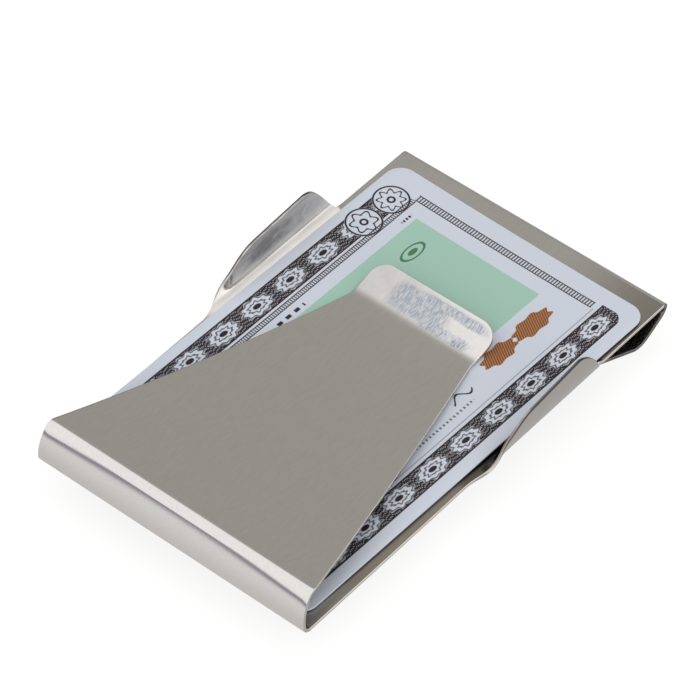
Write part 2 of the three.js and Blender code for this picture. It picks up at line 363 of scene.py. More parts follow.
def arm_path(fold, sheet, stack):
    """Fold, tongue and lip as three paths.

    The tongue is one shallow arc from the fold to the neck; its slope at the fold, which is the
    chord's slope plus half of the bow, is found by repeated correction. The lip is an arc from
    the tongue's heading to the lip angle, of the radius that gives the lip its run.
    """
    neck_y, neck_z = sheet.neck, stack + sheet.neck_gap + sheet.thickness / 2
    slope = 0.1
    for _ in range(25):
        folded = fold_path(fold, sheet, slope, fold.belly)
        y, z = folded[-1, :2]
        slope = math.atan2(z - neck_z, neck_y - y) + sheet.tongue_bow / 2
    chord = math.hypot(neck_y - y, neck_z - z)
    radius = chord / (2 * math.sin(sheet.tongue_bow / 2))
    root = folded[-1:]
    tongue = np.vstack([root, arc(*root[0], sheet.tongue_bow - slope, radius, 48)])
    start = tongue[-1, 2]
    lip_radius = sheet.lip_run / (math.sin(sheet.lip_angle) - math.sin(start))
    lip = np.vstack([tongue[-1:], arc(*tongue[-1], sheet.lip_angle, lip_radius, 64)])
    return folded, tongue, lip, slope


def run_of(path):
    """Length along a path up to each of its rows."""
    return np.concatenate([[0], np.cumsum(np.hypot(*np.diff(path[:, :2], axis=0).T))])


def rounded_tip(path, depth, edge, steps=5):
    """The path with its last edge radius redone as a quarter circle in thickness.

    The rows before the last edge radius stay. Then come steps at run - edge*(1 - sin a), with half
    of the thickness less edge*(1 - cos a), for a from 0 to a right angle.
    """
    run = run_of(path)
    a = np.linspace(0, math.pi / 2, steps + 1)
    keep = run < run[-1] - 1.2 * edge
    at = np.concatenate([run[keep], run[-1] - edge * (1 - np.sin(a))])
    rows = np.column_stack([np.interp(at, run, path[:, k]) for k in range(3)])
    thin = np.concatenate([np.full(keep.sum(), depth), depth - edge * (1 - np.cos(a))])
    return rows, at, thin


def bent_strip(path, edge_path, half, depth, edge, spread, place):
    """The sheet that follows a path: each section point lies across the strip, and offset from the
    path along its normal (-sin h, cos h), then is put in the clip by place(x, y, z). A second path
    is what the first one turns into, by (across / half width)^2, towards the long edges."""
    across, offset = sheet_ring(spread, half, depth, edge)
    share = (across / np.asarray(half)[:, None]) ** 2
    y, z, h = (path[:, k][:, None] + share * (edge_path - path)[:, k][:, None] for k in range(3))
    return place(across, y - np.sin(h) * offset, z + np.cos(h) * offset), across


def over_plate(sheet):
    """Puts the front arm: y from the front end, z from the plate's upper face."""
    return lambda x, y, z: np.stack(np.broadcast_arrays(
        x, FRONT_END + y, sheet.plate_top + z), axis=-1)


def under_plate(sheet):
    """Puts the rear arm, turned half a turn: y from the rear end, z down from the lower face."""
    return lambda x, y, z: np.stack(np.broadcast_arrays(
        x, REAR_END - y, sheet.plate_top - sheet.thickness - z), axis=-1)


def arm_settings(scene, side):
    """Fold, height of what lies under the neck, and placing function of one arm."""
    sheet, card, wing = scene.clip_sheet, scene.clip_card, scene.clip_wing
    if side == "front":
        dish = wing.lift * (sheet.neck_half_width / wing.seat) ** 2
        return scene.clip_front_fold, card.thickness + dish, over_plate(sheet)
    return scene.clip_rear_fold, 0.0, under_plate(sheet)


def arm_edge(side, across_count):
    """Painted light on an arm's cut edges: a painted highlight at half strength on the front arm's,
    and painted shade on the rear arm's, which lie beneath the plate.
    """
    rim = edge_mask(across_count)
    return {"cut": 0.5 * rim} if side == "front" else {"painted_shade": 1.3 * rim}


def make_fold(scene, side):
    """A fold, whose half width falls evenly along it by the inset. Its wall is rounder at its two
    ends than at mid width; both profiles end at the same root."""
    sheet = scene.clip_sheet
    fold, stack, place = arm_settings(scene, side)
    path, _, _, slope = arm_path(fold, sheet, stack)
    run = run_of(path)
    share = run / run[-1]
    end_path = fold_path(fold, sheet, slope, fold.end_belly)
    end_path[:, :2] += np.outer(share, path[-1, :2] - end_path[-1, :2])
    half = sheet.half_width - fold.inset * share
    spread = np.linspace(-1, 1, FOLD_ACROSS)
    depth = np.full(len(path), sheet.thickness / 2)
    grid, _ = bent_strip(path, end_path, half, depth, sheet.edge, spread, place)
    return steel_sheet(scene, f"{side}_end_fold", grid, gloss=fade(share, 0, 1 / 6)[:, None],
                       **arm_edge(side, FOLD_ACROSS))


def make_tongue(scene, side):
    """Tongue and lip in one: the half width falls evenly to the neck, stays, and rounds in at the
    lip's corners as half width less corner plus the root of corner^2 - past^2."""
    sheet = scene.clip_sheet
    fold, stack, place = arm_settings(scene, side)
    _, tongue, lip, _ = arm_path(fold, sheet, stack)
    neck_run = run_of(tongue)[-1]
    path, run, depth = rounded_tip(np.vstack([tongue, lip[1:]]), sheet.thickness / 2, sheet.edge)
    root_half = sheet.half_width - fold.inset
    taper = root_half + (sheet.neck_half_width - root_half) * np.minimum(run / neck_run, 1)
    past = np.maximum(0, run - (run[-1] - sheet.lip_corner))
    corner = sheet.lip_corner
    half = taper - corner + np.sqrt(np.maximum(0, corner ** 2 - past ** 2))
    spread = np.linspace(-1, 1, TONGUE_ACROSS)
    grid, across = bent_strip(path, path, half, depth, sheet.edge, spread, place)
    share = np.clip((run - neck_run) / (run[-1] - neck_run), 0, 1)[:, None]
    sideways = across / sheet.neck_half_width
    rub = np.maximum.reduce([
        strength * hump(sideways, *across_lip) * hump(share, *along_lip)
        for strength, across_lip, along_lip in RUB_PATCHES])
    gloss = fade(run - neck_run, 0.4 * MM, 1.6 * MM)[:, None]
    # polish: the lip is polished by use, and darker towards its left side as painted shade, so its
    # right side stays lighter.
    return steel_sheet(scene, f"{side}_spring_tongue", grid, rub=rub, gloss=gloss,
                       polish=gloss * fade(-sideways, -1, 2), **arm_edge(side, TONGUE_ACROSS))


def wing_reach(y, wing, margin):
    """Developed width of a wing at y past its near end: the rounded minimum of a crown, which
    climbs by a smoothstep and then at the crown slope, and a flank that falls to the far end."""
    span = wing.end - wing.start
    crown = margin + wing.rise * smoothstep(y / wing.rise_run) \
        + wing.crown_slope * np.maximum(0, y - wing.rise_run * 0.65)
    flank = margin + (span - y) * wing.flank_slope
    reach = np.maximum(margin, smooth_min(crown, flank, wing.blend))
    return np.where(y < 0, margin, reach)


def bent_section(d, offset, twist, root, wing, sheet):
    """Place of developed coordinate d in the plate's section, at an offset from the middle plane.

    Up to the root line the section is flat. Past it the slope grows evenly over the root bend,
    and then along the wall's radius; both are scaled by twist. x and z are the exact integrals of
    the slope's cosine and sine.
    """
    s = np.maximum(np.abs(d) - root, 0)
    bend_run = wing.root_angle * (wing.root_radius + sheet.thickness / 2)
    twist = np.maximum(twist, 1e-5)
    k1, k2 = twist * wing.root_angle / bend_run, twist / wing.wall_radius
    s1, s2 = np.minimum(s, bend_run), np.maximum(s - bend_run, 0)
    a1 = k1 * s1
    a2 = a1 + k2 * s2
    x = np.sin(a1) / k1 + (np.sin(a2) - np.sin(a1)) / k2
    z = (1 - np.cos(a1)) / k1 + (np.cos(a1) - np.cos(a2)) / k2
    x = np.minimum(np.abs(d), root) + x
    return np.sign(d) * (x - np.sin(a2) * offset), z + np.cos(a2) * offset


def plate_finish(wing, d, inside, root, twist, from_near, from_far, past):
    """Finish and painted light of the plate and its wings, by the developed coordinate d and the
    distances along it from the plate's two ends and from the near end of a wing.

    A painted highlight lightens a wing's inside above its bend. A band of painted shade lies just
    above the bend, and a patch of painted shade fades towards the wing's ends by exp(-((share -
    middle) / reach)^2). A wing's cut edges carry painted shade, and the plate's own cut edges carry
    a painted highlight. To the right of the card the plate carries a warm strip of painted
    shade: the strip starts pale, deepens along the plate, is darkest at the foot of the wing, and
    ends behind it. More painted shade lies on the right towards the rear end.
    """
    rim = edge_mask(PLATE_ACROSS)
    beyond, span = np.abs(d) - root, wing.end - wing.start
    height = beyond / (1.0 * MM + wing.rise)
    risen = fade(beyond, 1.0 * MM, 2.0 * MM) * twist
    # A painted highlight lightens the wing's inside from a little above its bend, easing off higher
    # up.
    wall = fade(height, 0.36, 0.09)
    clear = wall * (1 - 0.30 * fade(height, 0.5, 0.5))
    # A patch of painted shade inside a wing: its middle and reach as shares of the wing's length,
    # and its depth.
    patch_middle, patch_reach, patch_depth = 0.54, 0.34, 0.9
    patch = fade(height, 0.42, 0.30) * (1 - 0.5 * fade(height, 0.95, 0.3)) * patch_depth \
        * np.exp(-((past / span - patch_middle) / patch_reach) ** 2)
    # A band of painted shade just above the bend, below the painted highlight.
    root_shade = 0.20 * fade(height, 0.16, 0.20) * (1 - wall)
    # Painted shade on a wing's cut edges: on their inner half, and darker on their outer half.
    inner_edge, outer_edge = 0.8, 1.7
    painted_shade = np.where(inside, patch + root_shade, 0) * (1 - rim) \
        + rim * risen * np.where(inside, inner_edge, outer_edge)
    # Where the painted shade beside the card lies: behind the wing, at its foot, and to the right
    # of the card.
    behind = fade(past, 9.0 * MM, 5.0 * MM)
    wing_foot = fade(past, -3.0 * MM, 5.0 * MM) * (1 - behind)
    beside_card = fade(d, 24.0 * MM, 2.0 * MM) * inside
    dull = beside_card * (1 - fade(past, -2.0 * MM, 8.0 * MM))
    # A warm strip of painted shade beside the card, darkest at the foot of the wing.
    strip = beside_card * (1 - risen * behind) * fade(from_far, 2.0 * MM, 6.0 * MM) \
        * (0.4 + 0.6 * fade(from_near, 4.0 * MM, 9.0 * MM) + 0.8 * wing_foot)
    # More painted shade on the right of the plate towards its rear end.
    rear_corner = 0.75 * fade(d, 8.0 * MM, 20.0 * MM) * inside \
        * (1 - fade(from_far, 6.0 * MM, 8.0 * MM))
    # cut: a painted highlight on the plate's cut edges, off the wings.
    return {"polish": 0.7 * risen * inside, "gloss": 0.6 * fade(beyond, 0, 1.0 * MM) * twist,
            "dull": dull, "painted_shade": painted_shade * twist, "clear": clear * twist * inside,
            "painted_strip_shade": np.maximum(strip, rear_corner), "cut": 1.5 * rim * (1 - risen)}


def make_plate(scene):
    """Plate and wings as one sheet. For each y, the developed half width is the plate's, or in a
    wing the root line plus the wing's reach; bent_section then bends it up."""
    sheet, wing, front, rear = (scene.clip_sheet, scene.clip_wing, scene.clip_front_fold,
                                scene.clip_rear_fold)
    drop = wing.root_radius - wing.lift
    root = wing.seat - math.sqrt(wing.root_radius ** 2 - drop ** 2)
    margin = sheet.half_width - root
    start, end = FRONT_END + wing.start, FRONT_END + wing.end
    span = wing.end - wing.start
    near, far = FRONT_END + front.bend_radius, REAR_END - rear.bend_radius
    lead, flat_again = start - 3 * MM, end + wing.untwist_run
    y = np.concatenate([
        np.linspace(near, lead, 24)[:-1], np.linspace(lead, end, 150)[:-1],
        np.linspace(end, flat_again, 16)[:-1], np.linspace(flat_again, far, 12),
    ])
    past = y - start
    twist = fade(past, 0, wing.twist_run) * (1 - fade(past, span - 0.3 * MM, wing.untwist_run))
    half = np.where((past > 0) & (past < span), root + wing_reach(past, wing, margin),
                    sheet.half_width)
    spread = np.linspace(-1, 1, PLATE_ACROSS)
    depth = np.full(len(y), sheet.thickness / 2)
    d, offset = sheet_ring(spread, half, depth, sheet.edge)
    reach = np.maximum(half[:, None] - sheet.edge, root)
    share = np.abs(spread)
    inner = root * share / FLAT_SHARE
    outer = root + (reach - root) * (share - FLAT_SHARE) / (1 - FLAT_SHARE)
    spaced = np.sign(spread) * np.where(share < FLAT_SHARE, inner, outer)
    back = PLATE_ACROSS + 2 * EDGE_STEPS
    d[:, :PLATE_ACROSS] = spaced
    d[:, back:back + PLATE_ACROSS] = -spaced
    x, z = bent_section(d, offset, twist[:, None], root, wing, sheet)
    grid = np.stack(np.broadcast_arrays(x, y[:, None], sheet.plate_top - sheet.thickness / 2 + z),
                    axis=-1)
    finish = plate_finish(wing, d, offset > 0, root, twist[:, None],
                          y[:, None] - near, far - y[:, None], past[:, None])
    return steel_sheet(scene, "plate_with_wings", grid, **finish)


def make_card(scene):
    """The card, a straight strip with four round corners, dished by lift*(x/seat)^2 and turned
    about a point midway along the wings."""
    sheet, card, wing = scene.clip_sheet, scene.clip_card, scene.clip_wing
    pivot = FRONT_END + (wing.start + wing.end) / 2
    far = REAR_END - card.far_setback
    near = far - card.length
    a = np.linspace(0, math.pi / 2, 13)
    corner_y = card.corner * (1 - np.cos(a))
    straight = np.linspace(near + card.corner, far - card.corner, 40)[1:-1]
    y = np.concatenate([near + corner_y, straight, far - corner_y[::-1]])
    into = np.minimum(np.minimum(y - near, far - y), card.corner)
    half = card.width / 2 - card.corner \
        + np.sqrt(np.maximum(0, card.corner ** 2 - (card.corner - into) ** 2))
    spread = np.linspace(-1, 1, CARD_ACROSS)
    depth = np.full(len(y), card.thickness / 2)
    depth[0] = depth[-1] = card.thickness / 2 - card.edge
    x, offset = sheet_ring(spread, half, depth, card.edge, CARD_EDGE_STEPS)
    z = sheet.plate_top + wing.lift * (x / wing.seat) ** 2 + card.thickness / 2 + offset
    turn = -math.atan(card.drift / (wing.end - wing.start))
    grid = np.stack([
        x * math.cos(turn) - (y[:, None] - pivot) * math.sin(turn),
        pivot + x * math.sin(turn) + (y[:, None] - pivot) * math.cos(turn),
        z,
    ], axis=-1)
    return closed_sheet("printed_display_card", grid, printed_face(scene, turn, pivot), {})


# ------------------------------------------------------------------ materials

class Wiring:
    """The nodes of a material or a world, with short calls for those that finishes share."""

    def __init__(self, owner):
        owner.use_nodes = True
        self.owner, self.tree = owner, owner.node_tree
        self.tree.nodes.clear()

    def node(self, kind, inputs=(), **settings):
        """A node with its settings; inputs maps socket names or numbers to values or sockets."""
        made = self.tree.nodes.new(kind)
        for key, value in settings.items():
            setattr(made, key, value)
        for key, value in dict(inputs).items():
            self.feed(made.inputs[key], value)
        return made

    def feed(self, socket, value):
        """Links a socket to another one, or sets its value."""
        if isinstance(value, bpy.types.NodeSocket):
            self.tree.links.new(value, socket)
        elif socket.type == "RGBA":
            socket.default_value = (*value, 1.0)
        else:
            socket.default_value = value

    def math(self, operation, *values, clamp=False):
        """One Math node."""
        return self.node("ShaderNodeMath", dict(enumerate(values)), operation=operation,
                         use_clamp=clamp).outputs[0]

    def plus(self, a, b):
        """a + b."""
        return self.math("ADD", a, b)

    def minus(self, a, b):
        """a - b."""
        return self.math("SUBTRACT", a, b)

    def times(self, a, *others, clamp=False):
        """The product of two values or more."""
        for b in others:
            a = self.math("MULTIPLY", a, b, clamp=clamp)
        return a

    def linear(self, value, gain, base, clamp=False):
        """value times gain, plus base."""
        return self.math("MULTIPLY_ADD", value, gain, base, clamp=clamp)

    def step(self, value, low, high):
        """0 at low and before it, 1 at high and past it, smooth between; low may be the higher."""
        return self.node("ShaderNodeMapRange", {"Value": value, "From Min": low, "From Max": high},
                         interpolation_type="SMOOTHSTEP").outputs["Result"]

    def below(self, value, limit, soft):
        """1 below a limit, with an edge of width soft."""
        return self.step(value, limit + soft / 2, limit - soft / 2)

    def within(self, value, low, high, soft):
        """1 between low and high, with edges of width soft."""
        return self.times(self.step(value, low - soft / 2, low + soft / 2),
                          self.below(value, high, soft))

    def near(self, value, middle, full, none):
        """1 while value is within full of a middle, 0 from none on."""
        return self.step(self.math("ABSOLUTE", self.minus(value, middle)), none, full)

    def either(self, *masks):
        """The highest of several masks."""
        top = masks[0]
        for mask in masks[1:]:
            top = self.math("MAXIMUM", top, mask)
        return top

    def sway(self, value, rate, gain):
        """gain times the sine of rate times value."""
        return self.times(self.math("SINE", self.times(value, rate)), gain)

    def wave(self, value, pitch, thin=0.0):
        """Lines of a pitch: 1 on a line and 0 between; thin above 0 makes the lines thinner."""
        height = self.math("SINE", self.times(value, 2 * math.pi / pitch))
        return self.step(height, thin - 0.35, thin + 0.35)

    def mix(self, share, a, b):
        """Colour a turned into colour b by a share."""
        made = self.node("ShaderNodeMix", data_type="RGBA")
        for name, value in (("Factor_Float", share), ("A_Color", a), ("B_Color", b)):
            self.feed(next(s for s in made.inputs if s.identifier == name), value)
        return next(s for s in made.outputs if s.identifier == "Result_Color")

    def noise(self, place, scale, stretch=(1, 1, 1), detail=3.0, swirl=0.0):
        """Noise of about one wave for each 1/scale, on a stretched and swirled place."""
        moved = self.node("ShaderNodeMapping", {"Vector": place, "Scale": stretch})
        return self.node("ShaderNodeTexNoise", {
            "Vector": moved.outputs[0], "Scale": scale, "Detail": detail,
            "Distortion": swirl}).outputs["Fac"]

    def object_place(self):
        """The place on the piece, in metres."""
        return self.node("ShaderNodeTexCoord").outputs["Object"]

    def field(self, name):
        """A float attribute of the mesh."""
        return self.node("ShaderNodeAttribute", attribute_name=name).outputs["Fac"]

    def bump(self, strength, distance, height):
        """A normal raised by a height."""
        return self.node("ShaderNodeBump", {"Strength": strength, "Distance": distance,
                                            "Height": height}).outputs[0]

    def surface(self, inputs):
        """The Principled shader and the output."""
        shader = self.node("ShaderNodeBsdfPrincipled", inputs)
        self.node("ShaderNodeOutputMaterial", {"Surface": shader.outputs[0]})
        return self.owner


def shaded(colour, factor):
    """A colour times a factor."""
    return tuple(factor * part for part in colour)


def satin_steel(scene):
    """Stainless steel: a satin grain along the clip, clearer gloss on the bends, and polished lips
    with fine cool rub marks, darker towards their left side as painted shade. Painted light: a
    painted highlight that lightens the wings' inside, a mottled patch of painted shade in them,
    painted shade on the wings' and the rear arm's cut edges, a warm strip of painted shade beside
    the card, and cut edges brightened by a painted highlight."""
    finish = scene.clip_steel
    w = Wiring(bpy.data.materials.new("satin_steel"))
    place = w.object_place()
    rub, polish, gloss, clear, painted_shade, painted_strip_shade, dull, cut = map(w.field, STEEL_FIELDS)
    grain = w.noise(place, 2600.0, stretch=(1.0, 0.16, 1.0), detail=2.0)
    cloud = w.noise(place, 60.0)
    blotch = w.noise(place, 260.0, stretch=(1.0, 0.7, 1.0), detail=4.0)
    hair = w.noise(place, 6800.0, stretch=(1.0, 0.14, 0.18))
    sweep = w.noise(place, 420.0, stretch=(1.0, 0.8, 0.8), detail=4.0)
    swirl = w.noise(place, 300.0, stretch=(1.0, 0.55, 1.0), detail=5.0, swirl=1.6)
    uneven_grain, uneven_cloud = w.minus(grain, 0.5), w.minus(cloud, 0.5)
    lively = w.times(w.minus(blotch, 0.5), polish)

    hairs = w.linear(w.step(hair, 0.40, 0.60), gain=0.78, base=0.22)
    marks = w.times(hairs, w.step(w.linear(rub, gain=0.55, base=sweep), 0.46, 0.94))
    marks = w.times(marks, w.step(rub, 0.02, 0.6), clamp=True)
    # The painted shade, mottled by a swirled noise.
    painted_shade_mottle = w.linear(w.step(swirl, 0.30, 0.70), gain=0.7, base=0.55)
    painted_shade_mottle = w.times(painted_shade, painted_shade_mottle, clamp=True)
    base = w.mix(gloss, finish.satin, finish.bend)
    # Polished steel; on the lips it also darkens their left side as painted shade.
    base = w.mix(polish, base, finish.polished)
    base = w.mix(marks, base, finish.rub)
    # A painted highlight: the light colour inside the wings.
    base = w.mix(clear, base, finish.clear)
    # Painted shade: a mottled patch inside the wings, and the wings' and the rear arm's cut edges.
    base = w.mix(painted_shade_mottle, base, finish.painted_shade)
    # Past 1, the darker painted shade of the wings' outer cut edges.
    base = w.mix(w.step(painted_shade, 1.0, 1.6), base, finish.painted_edge_shade)
    # A warm strip of painted shade beside the card, and past 1 a darker copy of it.
    base = w.mix(w.math("MINIMUM", painted_strip_shade, 1.0), base, finish.painted_strip_shade)
    base = w.mix(w.step(painted_strip_shade, 1.0, 1.8), base, shaded(finish.painted_strip_shade, 0.45))
    # Cut edges, brightened by a painted highlight.
    base = w.mix(w.times(cut, 0.6), base, finish.cut_edge_and_glint)
    shade = w.linear(uneven_grain, gain=finish.grain, base=1.0)
    shade = w.linear(uneven_cloud, gain=0.03, base=shade)
    shade = w.linear(lively, gain=0.35, base=shade)
    shade = w.node("ShaderNodeCombineXYZ", {0: shade, 1: shade, 2: shade}).outputs[0]
    toned = w.node("ShaderNodeVectorMath", {0: base, 1: shade}, operation="MULTIPLY").outputs[0]

    rough = w.linear(uneven_cloud, gain=0.04, base=finish.roughness)
    for field, gain in ((gloss, -0.07), (lively, 0.14), (dull, 0.25)):
        rough = w.linear(field, gain, rough)
    rough = w.linear(marks, gain=0.10, base=rough, clamp=True)
    height = w.linear(blotch, gain=w.times(gloss, 1.5), base=grain)
    return w.surface({"Base Color": toned, "Metallic": 1.0, "Roughness": rough,
                      "Normal": w.bump(0.2, 0.004 * MM, height)})


# ---- the card's print, in millimetres from its middle: x across the card, y along it

LINE_EDGE = 0.1  # softness of a printed edge
LEFT_BAND, LEFT_BAND_TOP = (-25.0, -20.3), 34.5  # sides and far end of the two bands
RIGHT_BAND, RIGHT_BAND_TOP = (20.0, 24.5), 38.6
BAND_CORNER, BAND_CORNER_RADIUS = (22.0, 36.2), 2.5  # the right band's one round corner
FAR_LADDER, FAR_LADDER_REACH = (36.75, 38.25), (-19.2, 18.8)
SIDE_LADDER, SIDE_LADDER_TOP = (-19.85, -18.75), 36.65
HAIRLINE, HAIRLINE_TOP = (19.2, 19.42), 36.9
GREEN_PANEL = ((-16.2, 10.5), (-34.0, 33.7))
ROSETTES = (((-22.2, 34.2), 8), ((-22.2, 27.2), 6))  # middle and number of petals
ROSETTE_RADIUS = 3.35
COPPER_BLOSSOMS = (((14.0, 27.6), (1.8, 4.4)), ((14.1, 19.0), (1.75, 4.0)))  # middle, half sizes
CURL_MIDDLE, CURL_REACH = 15.4, (5.4, 10.4)
BEADS_MIDDLE, BEADS_REACH = 17.5, (-6.0, 8.6)
TABS, TABS_REACH = (-17.6, -16.9), (-1.0, 6.6)
DOTS_MIDDLE, DOT_SIZE, DOTS_REACH = -17.3, (0.3, 0.22), (31.2, 33.8)
SPRIG_MIDDLE, SPRIG_SIZE = (-11.6, 27.4), (1.35, 3.0)


def oval(w, x, y, centre, size):
    """Distance from a centre as a share of an oval's two half sizes, and its two parts."""
    u = w.math("DIVIDE", w.minus(x, centre[0]), size[0])
    v = w.math("DIVIDE", w.minus(y, centre[1]), size[1])
    return w.math("SQRT", w.plus(w.times(u, u), w.times(v, v))), u, v


def scalloped(w, far, u, v, petals):
    """An oval's distance times 1 + 0.1 cos(petals turn), for a petalled outline, and the turn."""
    turn = w.math("ARCTAN2", v, u)
    petal = w.linear(w.math("COSINE", w.times(turn, petals)), gain=0.10, base=1.0)
    return w.times(far, petal), turn


def repeated(w, value, pitch):
    """A zigzag between minus and plus half a pitch, on which a shape repeats once a pitch."""
    return w.minus(w.math("PINGPONG", value, pitch), pitch / 2)


def ornate_band(w, x, y, sides, top):
    """Ink of an engraved band along the card, up to its top: a dark field of crossed waves, with a
    chain of pale petalled medallions cut by fine rings."""
    middle, half, pitch = sum(sides) / 2, (sides[1] - sides[0]) / 2, 8.2
    local = repeated(w, w.plus(y, 200.0), pitch)
    far, u, v = oval(w, x, local, (middle, 0.0), (half * 0.80, pitch * 0.42))
    reach, turn = scalloped(w, far, u, v, petals=10.0)
    sway = w.sway(y, 2.1, 0.45)
    lattice = w.times(w.wave(w.plus(w.plus(x, y), sway), pitch=0.62, thin=0.1),
                      w.wave(w.minus(w.minus(y, x), sway), pitch=0.74, thin=0.1))
    field = w.minus(1.0, w.times(lattice, 0.5))
    ripple = w.linear(w.math("SINE", w.times(turn, 6.0)), gain=0.05, base=reach)
    rings = w.wave(ripple, pitch=0.40, thin=0.45)
    pale = w.step(reach, 1.04, 0.94)
    inside = w.either(w.times(rings, 0.8), w.step(far, 0.30, 0.22))
    ink = w.plus(w.times(pale, inside), w.times(w.minus(1.0, pale), field))
    edge = w.within(w.math("ABSOLUTE", w.minus(x, middle)), half - 0.28, half, 0.08)
    band = w.times(w.within(x, *sides, LINE_EDGE), w.below(y, top, 0.2))
    return w.times(w.either(ink, edge), band)


def ladder(w, along, across, sides, pitch):
    """Ink of two rails with rungs between them."""
    low, high = sides
    rails = w.either(w.within(across, low, low + 0.20, LINE_EDGE),
                     w.within(across, high - 0.20, high, LINE_EDGE))
    rungs = w.times(w.wave(along, pitch), w.within(across, low, high, LINE_EDGE))
    return w.either(rails, w.times(rungs, 0.85))


def rosette(w, x, y, centre, petals):
    """Pale disc with a dark rim, petals and an eye: (disc, ink). The petals' outline lies at
    0.62 + 0.12 cos(petals turn) of the radius."""
    far, u, v = oval(w, x, y, centre, (ROSETTE_RADIUS, ROSETTE_RADIUS))
    turn = w.math("ARCTAN2", v, u)
    bloom = w.linear(w.math("COSINE", w.times(turn, float(petals))), gain=0.12, base=0.62)
    leaf = w.times(w.near(far, bloom, full=0.03, none=0.07), w.step(far, 0.95, 0.9))
    rim, eye = w.within(far, 0.88, 0.98, 0.05), w.within(far, 0.12, 0.24, 0.05)
    return w.step(far, 1.0, 0.96), w.either(rim, leaf, eye)


def frame_ink(w, x, y):
    """Ink of the two bands, the ladders, the hairline and the two rosettes, which cover a band."""
    corner_x, corner_y = BAND_CORNER
    round_off = oval(w, x, y, BAND_CORNER, (BAND_CORNER_RADIUS, BAND_CORNER_RADIUS))[0]
    cut_off = w.times(w.step(x, corner_x, corner_x + 0.05), w.step(y, corner_y, corner_y + 0.05),
                      w.step(round_off, 1.0, 1.04))
    right = w.times(ornate_band(w, x, y, RIGHT_BAND, RIGHT_BAND_TOP), w.minus(1.0, cut_off))
    bands = w.either(ornate_band(w, x, y, LEFT_BAND, LEFT_BAND_TOP), right)
    discs, blooms = zip(*(rosette(w, x, y, *rose) for rose in ROSETTES))
    far_side = w.times(ladder(w, x, y, FAR_LADDER, pitch=0.56),
                       w.within(x, *FAR_LADDER_REACH, LINE_EDGE))
    near_side = w.times(ladder(w, y, x, SIDE_LADDER, pitch=0.5),
                        w.below(y, SIDE_LADDER_TOP, LINE_EDGE))
    hairline = w.times(w.within(x, *HAIRLINE, LINE_EDGE), w.below(y, HAIRLINE_TOP, 0.2), 0.45)
    return w.either(w.times(bands, w.minus(1.0, w.either(*discs))), far_side, near_side, hairline,
                    *blooms)


def small_ink(w, x, y):
    """Ink of a plain curl, a row of beads, three tabs and a few dots."""
    curl = w.times(w.near(x, w.plus(w.sway(y, 1.5, 0.75), CURL_MIDDLE), full=0.12, none=0.26),
                   w.within(y, *CURL_REACH, 0.2))
    beads = w.times(w.near(x, BEADS_MIDDLE, full=0.18, none=0.30),
                    w.times(w.wave(y, pitch=0.85, thin=0.3), w.within(y, *BEADS_REACH, 0.2)), 0.8)
    tabs = w.times(w.within(x, *TABS, LINE_EDGE), w.wave(y, pitch=2.1, thin=-0.1),
                   w.within(y, *TABS_REACH, LINE_EDGE))
    dot = oval(w, x, repeated(w, y, 0.7), (DOTS_MIDDLE, 0.0), DOT_SIZE)[0]
    dots = w.times(w.step(dot, 1.1, 0.9), w.within(y, *DOTS_REACH, LINE_EDGE))
    return w.either(curl, beads, tabs, dots)


def copper_mask(w, x, y):
    """1 on the two solid copper blossoms."""
    reaches = (scalloped(w, *oval(w, x, y, *blossom), petals=8.0)[0] for blossom in COPPER_BLOSSOMS)
    return w.either(*(w.step(reach, 1.02, 0.97) for reach in reaches))


def printed_face(scene, turn, pivot):
    """The card's print: two engraved bands, ladders, a green panel, copper blossoms and small
    ornaments. It holds no letters and no numerals. The place is turned back by the card's own
    angle about its pivot, and scaled to millimetres."""
    card = scene.clip_card
    w = Wiring(bpy.data.materials.new("printed_card_face"))
    centre = Vector((0, pivot, 0))
    back = Matrix.Rotation(-turn, 3, "Z") @ centre
    place = w.node("ShaderNodeMapping", {
        "Vector": w.object_place(), "Location": tuple((centre - back) / MM),
        "Rotation": (0, 0, -turn), "Scale": (1 / MM, 1 / MM, 1 / MM)}).outputs[0]
    split = w.node("ShaderNodeSeparateXYZ", {0: place})
    x, y = split.outputs[0], split.outputs[1]

    fibre, worn = w.noise(place, 2.2, detail=5.0), w.noise(place, 7.0, detail=4.0)
    ink = w.either(frame_ink(w, x, y), small_ink(w, x, y))
    ink = w.times(ink, w.linear(worn, gain=0.4, base=0.82), clamp=True)
    across, along = GREEN_PANEL
    panel = w.times(w.within(x, *across, LINE_EDGE), w.within(y, *along, LINE_EDGE))
    sprig = oval(w, x, y, SPRIG_MIDDLE, SPRIG_SIZE)[0]
    sprig = w.either(w.within(sprig, 0.78, 0.98, 0.06), w.step(sprig, 0.42, 0.34))
    hatch = w.wave(w.plus(x, w.times(y, 1.6)), pitch=0.80)
    colour = w.mix(w.times(w.minus(fibre, 0.35), 0.35), card.paper, shaded(card.paper, 0.9))
    colour = w.mix(panel, colour, card.panel)
    colour = w.mix(w.times(sprig, 0.85), colour, card.leaf)
    colour = w.mix(copper_mask(w, x, y), colour,
                   w.mix(hatch, card.copper, shaded(card.copper, 0.36)))
    colour = w.mix(ink, colour, card.ink)
    return w.surface({"Base Color": colour, "Roughness": w.linear(fibre, gain=0.12, base=0.40),
                      "Specular IOR Level": 0.22, "Normal": w.bump(0.2, 0.01 * MM, fibre)})


def pale_floor(scene):
    """A matt pale floor with a faint mottle, lit a little from below like a light table."""
    stage = scene.clip_stage
    w = Wiring(bpy.data.materials.new("pale_floor"))
    mottle = w.noise(w.object_place(), 6.0)
    colour = w.mix(mottle, stage.floor_colour, shaded(stage.floor_colour, 0.985))
    return w.surface({"Base Color": colour, "Roughness": 0.9, "Specular IOR Level": 0.1,
                      "Emission Color": (1.0, 1.0, 1.0), "Emission Strength": stage.floor_glow})


# ---- the light's directions from the clip, its tints and its two dark tones

